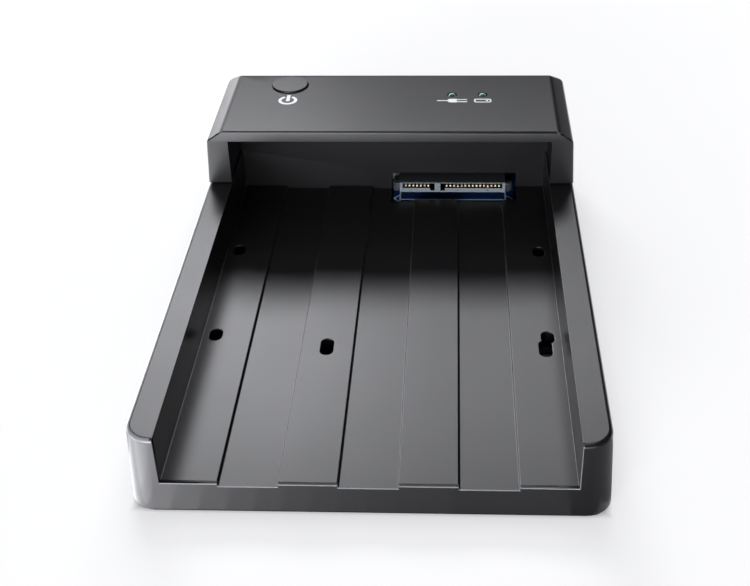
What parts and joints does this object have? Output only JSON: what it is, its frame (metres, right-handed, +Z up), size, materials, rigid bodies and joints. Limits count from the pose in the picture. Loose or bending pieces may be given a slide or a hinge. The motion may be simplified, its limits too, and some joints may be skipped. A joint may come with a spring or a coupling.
{
  "type": "hard drive docking station",
  "caption": "Flat open docking tray for a bare hard drive, with a raised head that holds the drive connector, a push power button, indicator lamps and rear sockets.",
  "frame": {"origin": "centre of the footprint, on the surface that the rubber feet stand on", "axes": "+Z up, +Y from the open front towards the head and the rear sockets, +X to the right of a user at the front"},
  "size_m": [0.121, 0.171, 0.0433],
  "materials": {
    "shell": "satin black moulded plastic with a fine grain",
    "button": "satin black moulded plastic",
    "rubber": "matt black rubber",
    "screw": "zinc-plated steel",
    "board": "blue solder mask",
    "connector_core": "light grey moulded resin",
    "connector_hood": "black moulded resin",
    "contact": "gold-plated",
    "tin": "tin-plated",
    "chip": "black moulded epoxy",
    "ferrite": "dark ferrite",
    "cap_sleeve": "dark sleeve",
    "ceramic": "tan ceramic",
    "port_core": "blue moulded resin",
    "header": "ivory nylon",
    "wire": "light grey insulation",
    "lamp": "tinted clear resin"
  },
  "bodies": {
    "dock": {"base_tray": "shell", "head_cover": "shell", "bottom_cover": "shell", "rubber_feet": "rubber", "cover_screws": "screw", "head_screws": "screw", "main_board": "board", "board_screws": "screw", "sata_insulator": "connector_core", "sata_hood": "connector_hood", "sata_signal_contacts": "contact", "sata_power_contacts": "contact", "sata_board_locks": "tin", "bridge_chip": "chip", "flash_chip": "chip", "crystal": "tin", "regulator": "chip", "power_inductor": "ferrite", "electrolytic_caps": "cap_sleeve", "ceramic_caps": "ceramic", "dc_jack_housing": "connector_hood", "dc_jack_pin": "tin", "dc_jack_lugs": "tin", "usb_shell": "tin", "usb_insulator": "port_core", "usb_contacts": "contact", "main_header": "header", "harness_wires": "wire", "indicator_header": "header", "indicator_board": "board", "indicator_screws": "screw", "switch_body": "chip", "switch_pins": "tin", "power_lamp": "lamp", "drive_lamp": "lamp", "lamp_leads": "tin"},
    "button": {"power_button": "button", "switch_plunger": "header"}
  },
  "joints": [
    {"name": "power_button_press", "type": "slide", "parent": "dock", "child": "button", "axis": [0, 0, -1], "range_m": [0, 0.0015], "stiffness_N_per_m": 800, "springref_m": -0.001}
  ]
}
